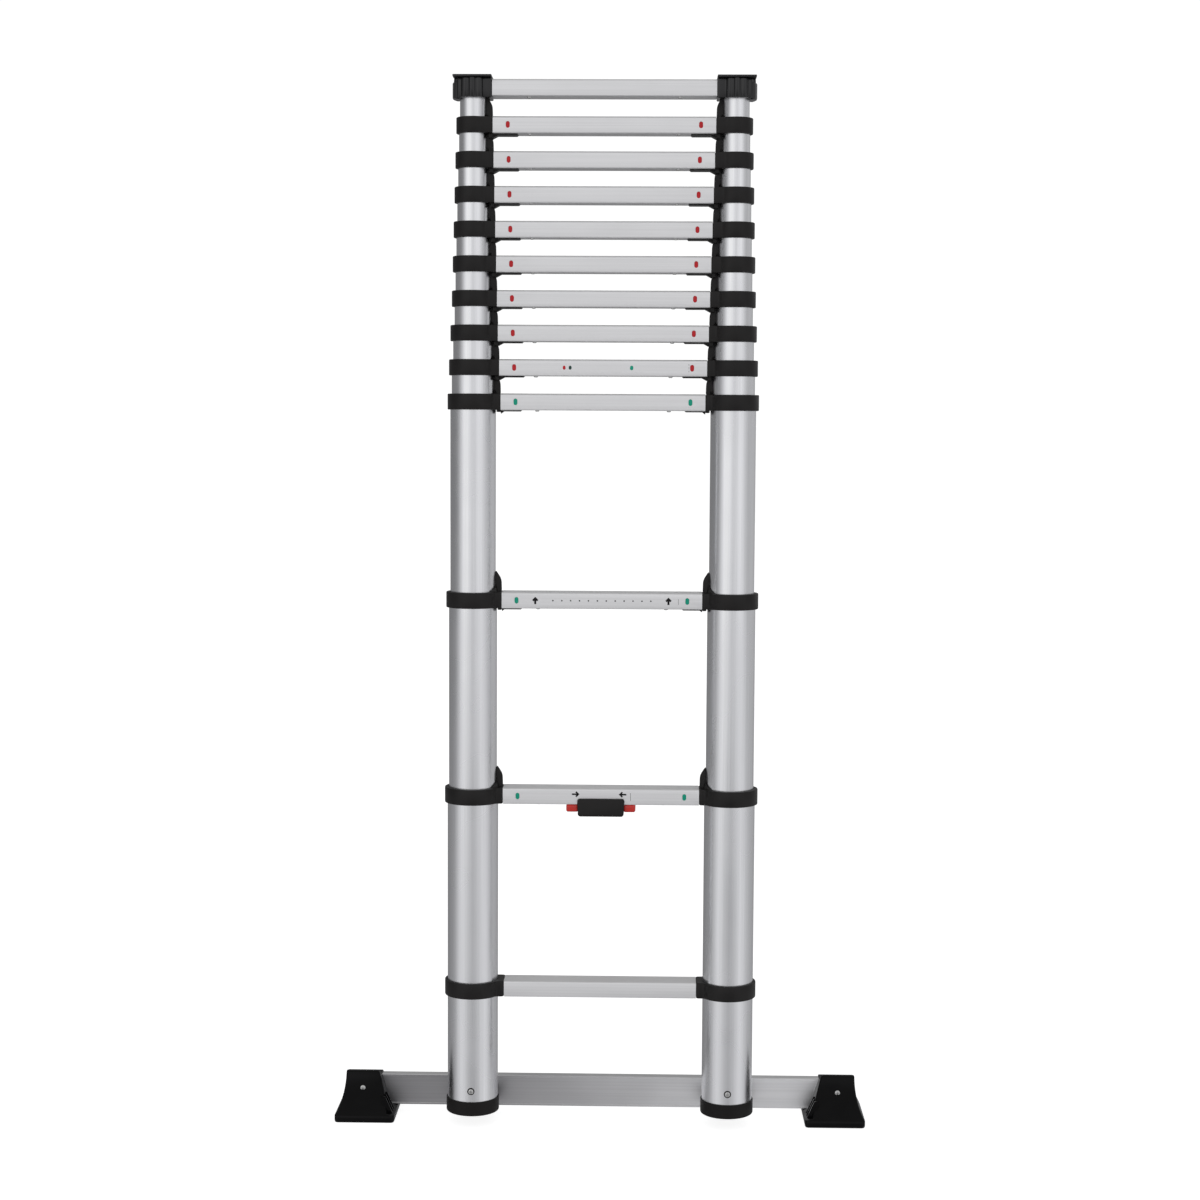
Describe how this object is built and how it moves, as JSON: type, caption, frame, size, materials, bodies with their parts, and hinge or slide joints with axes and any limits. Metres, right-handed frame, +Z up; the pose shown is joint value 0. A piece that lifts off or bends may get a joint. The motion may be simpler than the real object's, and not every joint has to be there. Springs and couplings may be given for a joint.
{
  "type": "telescoping ladder",
  "caption": "Telescoping ladder of nested round tubes with collared rungs, sliding lockable sections and a wide stabiliser bar foot.",
  "frame": {"origin": "middle of the footprint box on the floor that the shoes stand on; the tube axes are in the plane Y = -34.45 mm", "axes": "+Z up along the tubes, +X along the rungs to the right seen from the climber's side, -Y towards the climber, with the stabiliser bar behind the tubes at +Y"},
  "size_m": [0.822, 0.1551, 1.6018],
  "materials": {
    "anodised_tube": "satin natural anodised aluminium tube",
    "rung_aluminium": "satin extruded aluminium, fine lengthwise die lines",
    "bar_aluminium": "mill-finish extruded aluminium, brushed lengthwise",
    "black_plastic": "black glass-filled nylon with a fine moulded grain",
    "black_rubber": "black rubber, slightly matt",
    "shoe_rubber": "smooth black moulded rubber with a soft gloss",
    "red_plastic": "glossy red plastic",
    "bolt_steel": "bright zinc-plated steel",
    "green_plastic": "green indicator flag behind the rung's window",
    "label_ink": "black screen-printed marks"
  },
  "bodies": {
    "base": {"base_tube_left": "anodised_tube", "base_tube_right": "anodised_tube", "rung_01": "rung_aluminium", "rung_02": "rung_aluminium", "collar_left_01": "black_plastic", "collar_right_01": "black_plastic", "collar_left_02": "black_plastic", "collar_right_02": "black_plastic", "release_housing": "black_plastic", "end_plug_left": "black_rubber", "end_plug_right": "black_rubber", "stabiliser_bar": "bar_aluminium", "stabiliser_shoe_left": "shoe_rubber", "stabiliser_shoe_right": "shoe_rubber"},
    "section_03": {"tube_left_03": "anodised_tube", "tube_right_03": "anodised_tube", "rung_03": "rung_aluminium", "collar_left_03": "black_plastic", "collar_right_03": "black_plastic"},
    "section_04": {"tube_left_04": "anodised_tube", "tube_right_04": "anodised_tube", "rung_04": "rung_aluminium", "collar_left_04": "black_plastic", "collar_right_04": "black_plastic"},
    "section_05": {"tube_left_05": "anodised_tube", "tube_right_05": "anodised_tube", "rung_05": "rung_aluminium"},
    "section_06": {"tube_left_06": "anodised_tube", "tube_right_06": "anodised_tube", "rung_06": "rung_aluminium"},
    "section_07": {"tube_left_07": "anodised_tube", "tube_right_07": "anodised_tube", "rung_07": "rung_aluminium"},
    "section_08": {"tube_left_08": "anodised_tube", "tube_right_08": "anodised_tube", "rung_08": "rung_aluminium"},
    "section_09": {"tube_left_09": "anodised_tube", "tube_right_09": "anodised_tube", "rung_09": "rung_aluminium"},
    "section_10": {"tube_left_10": "anodised_tube", "tube_right_10": "anodised_tube", "rung_10": "rung_aluminium"},
    "section_11": {"tube_left_11": "anodised_tube", "tube_right_11": "anodised_tube", "rung_11": "rung_aluminium"},
    "section_12": {"tube_left_12": "anodised_tube", "tube_right_12": "anodised_tube", "rung_12": "rung_aluminium"},
    "section_13": {"tube_left_13": "anodised_tube", "tube_right_13": "anodised_tube", "rung_13": "rung_aluminium", "top_cap_left": "black_plastic", "top_cap_right": "black_plastic"},
    "release_left": {"release_button_left": "red_plastic", "lock_bolt_left_02": "bolt_steel"},
    "release_right": {"release_button_right": "red_plastic", "lock_bolt_right_02": "bolt_steel"},
    "bolt_left_03": {"lock_bolt_left_03": "bolt_steel"},
    "bolt_right_03": {"lock_bolt_right_03": "bolt_steel"}
  },
  "joints": [
    {"name": "slide_03", "type": "slide", "parent": "base", "child": "section_03", "axis": [0, 0, 1], "range_m": [-0.2485, 0]},
    {"name": "slide_04", "type": "slide", "parent": "section_03", "child": "section_04", "axis": [0, 0, 1], "range_m": [-0.2485, 0]},
    {"name": "slide_05", "type": "slide", "parent": "section_04", "child": "section_05", "axis": [0, 0, 1], "range_m": [0, 0.2485]},
    {"name": "slide_06", "type": "slide", "parent": "section_05", "child": "section_06", "axis": [0, 0, 1], "range_m": [0, 0.2485]},
    {"name": "slide_07", "type": "slide", "parent": "section_06", "child": "section_07", "axis": [0, 0, 1], "range_m": [0, 0.2485]},
    {"name": "slide_08", "type": "slide", "parent": "section_07", "child": "section_08", "axis": [0, 0, 1], "range_m": [0, 0.2485]},
    {"name": "slide_09", "type": "slide", "parent": "section_08", "child": "section_09", "axis": [0, 0, 1], "range_m": [0, 0.2485]},
    {"name": "slide_10", "type": "slide", "parent": "section_09", "child": "section_10", "axis": [0, 0, 1], "range_m": [0, 0.2485]},
    {"name": "slide_11", "type": "slide", "parent": "section_10", "child": "section_11", "axis": [0, 0, 1], "range_m": [0, 0.2485]},
    {"name": "slide_12", "type": "slide", "parent": "section_11", "child": "section_12", "axis": [0, 0, 1], "range_m": [0, 0.2485]},
    {"name": "slide_13", "type": "slide", "parent": "section_12", "child": "section_13", "axis": [0, 0, 1], "range_m": [0, 0.2452]},
    {"name": "release_left_slide", "type": "slide", "parent": "base", "child": "release_left", "axis": [1, 0, 0], "range_m": [0, 0.008], "stiffness_N_per_m": 600},
    {"name": "release_right_slide", "type": "slide", "parent": "base", "child": "release_right", "axis": [-1, 0, 0], "range_m": [0, 0.008], "stiffness_N_per_m": 600},
    {"name": "bolt_left_03_slide", "type": "slide", "parent": "section_03", "child": "bolt_left_03", "axis": [1, 0, 0], "range_m": [0, 0.008], "stiffness_N_per_m": 600},
    {"name": "bolt_right_03_slide", "type": "slide", "parent": "section_03", "child": "bolt_right_03", "axis": [-1, 0, 0], "range_m": [0, 0.008], "stiffness_N_per_m": 600}
  ]
}
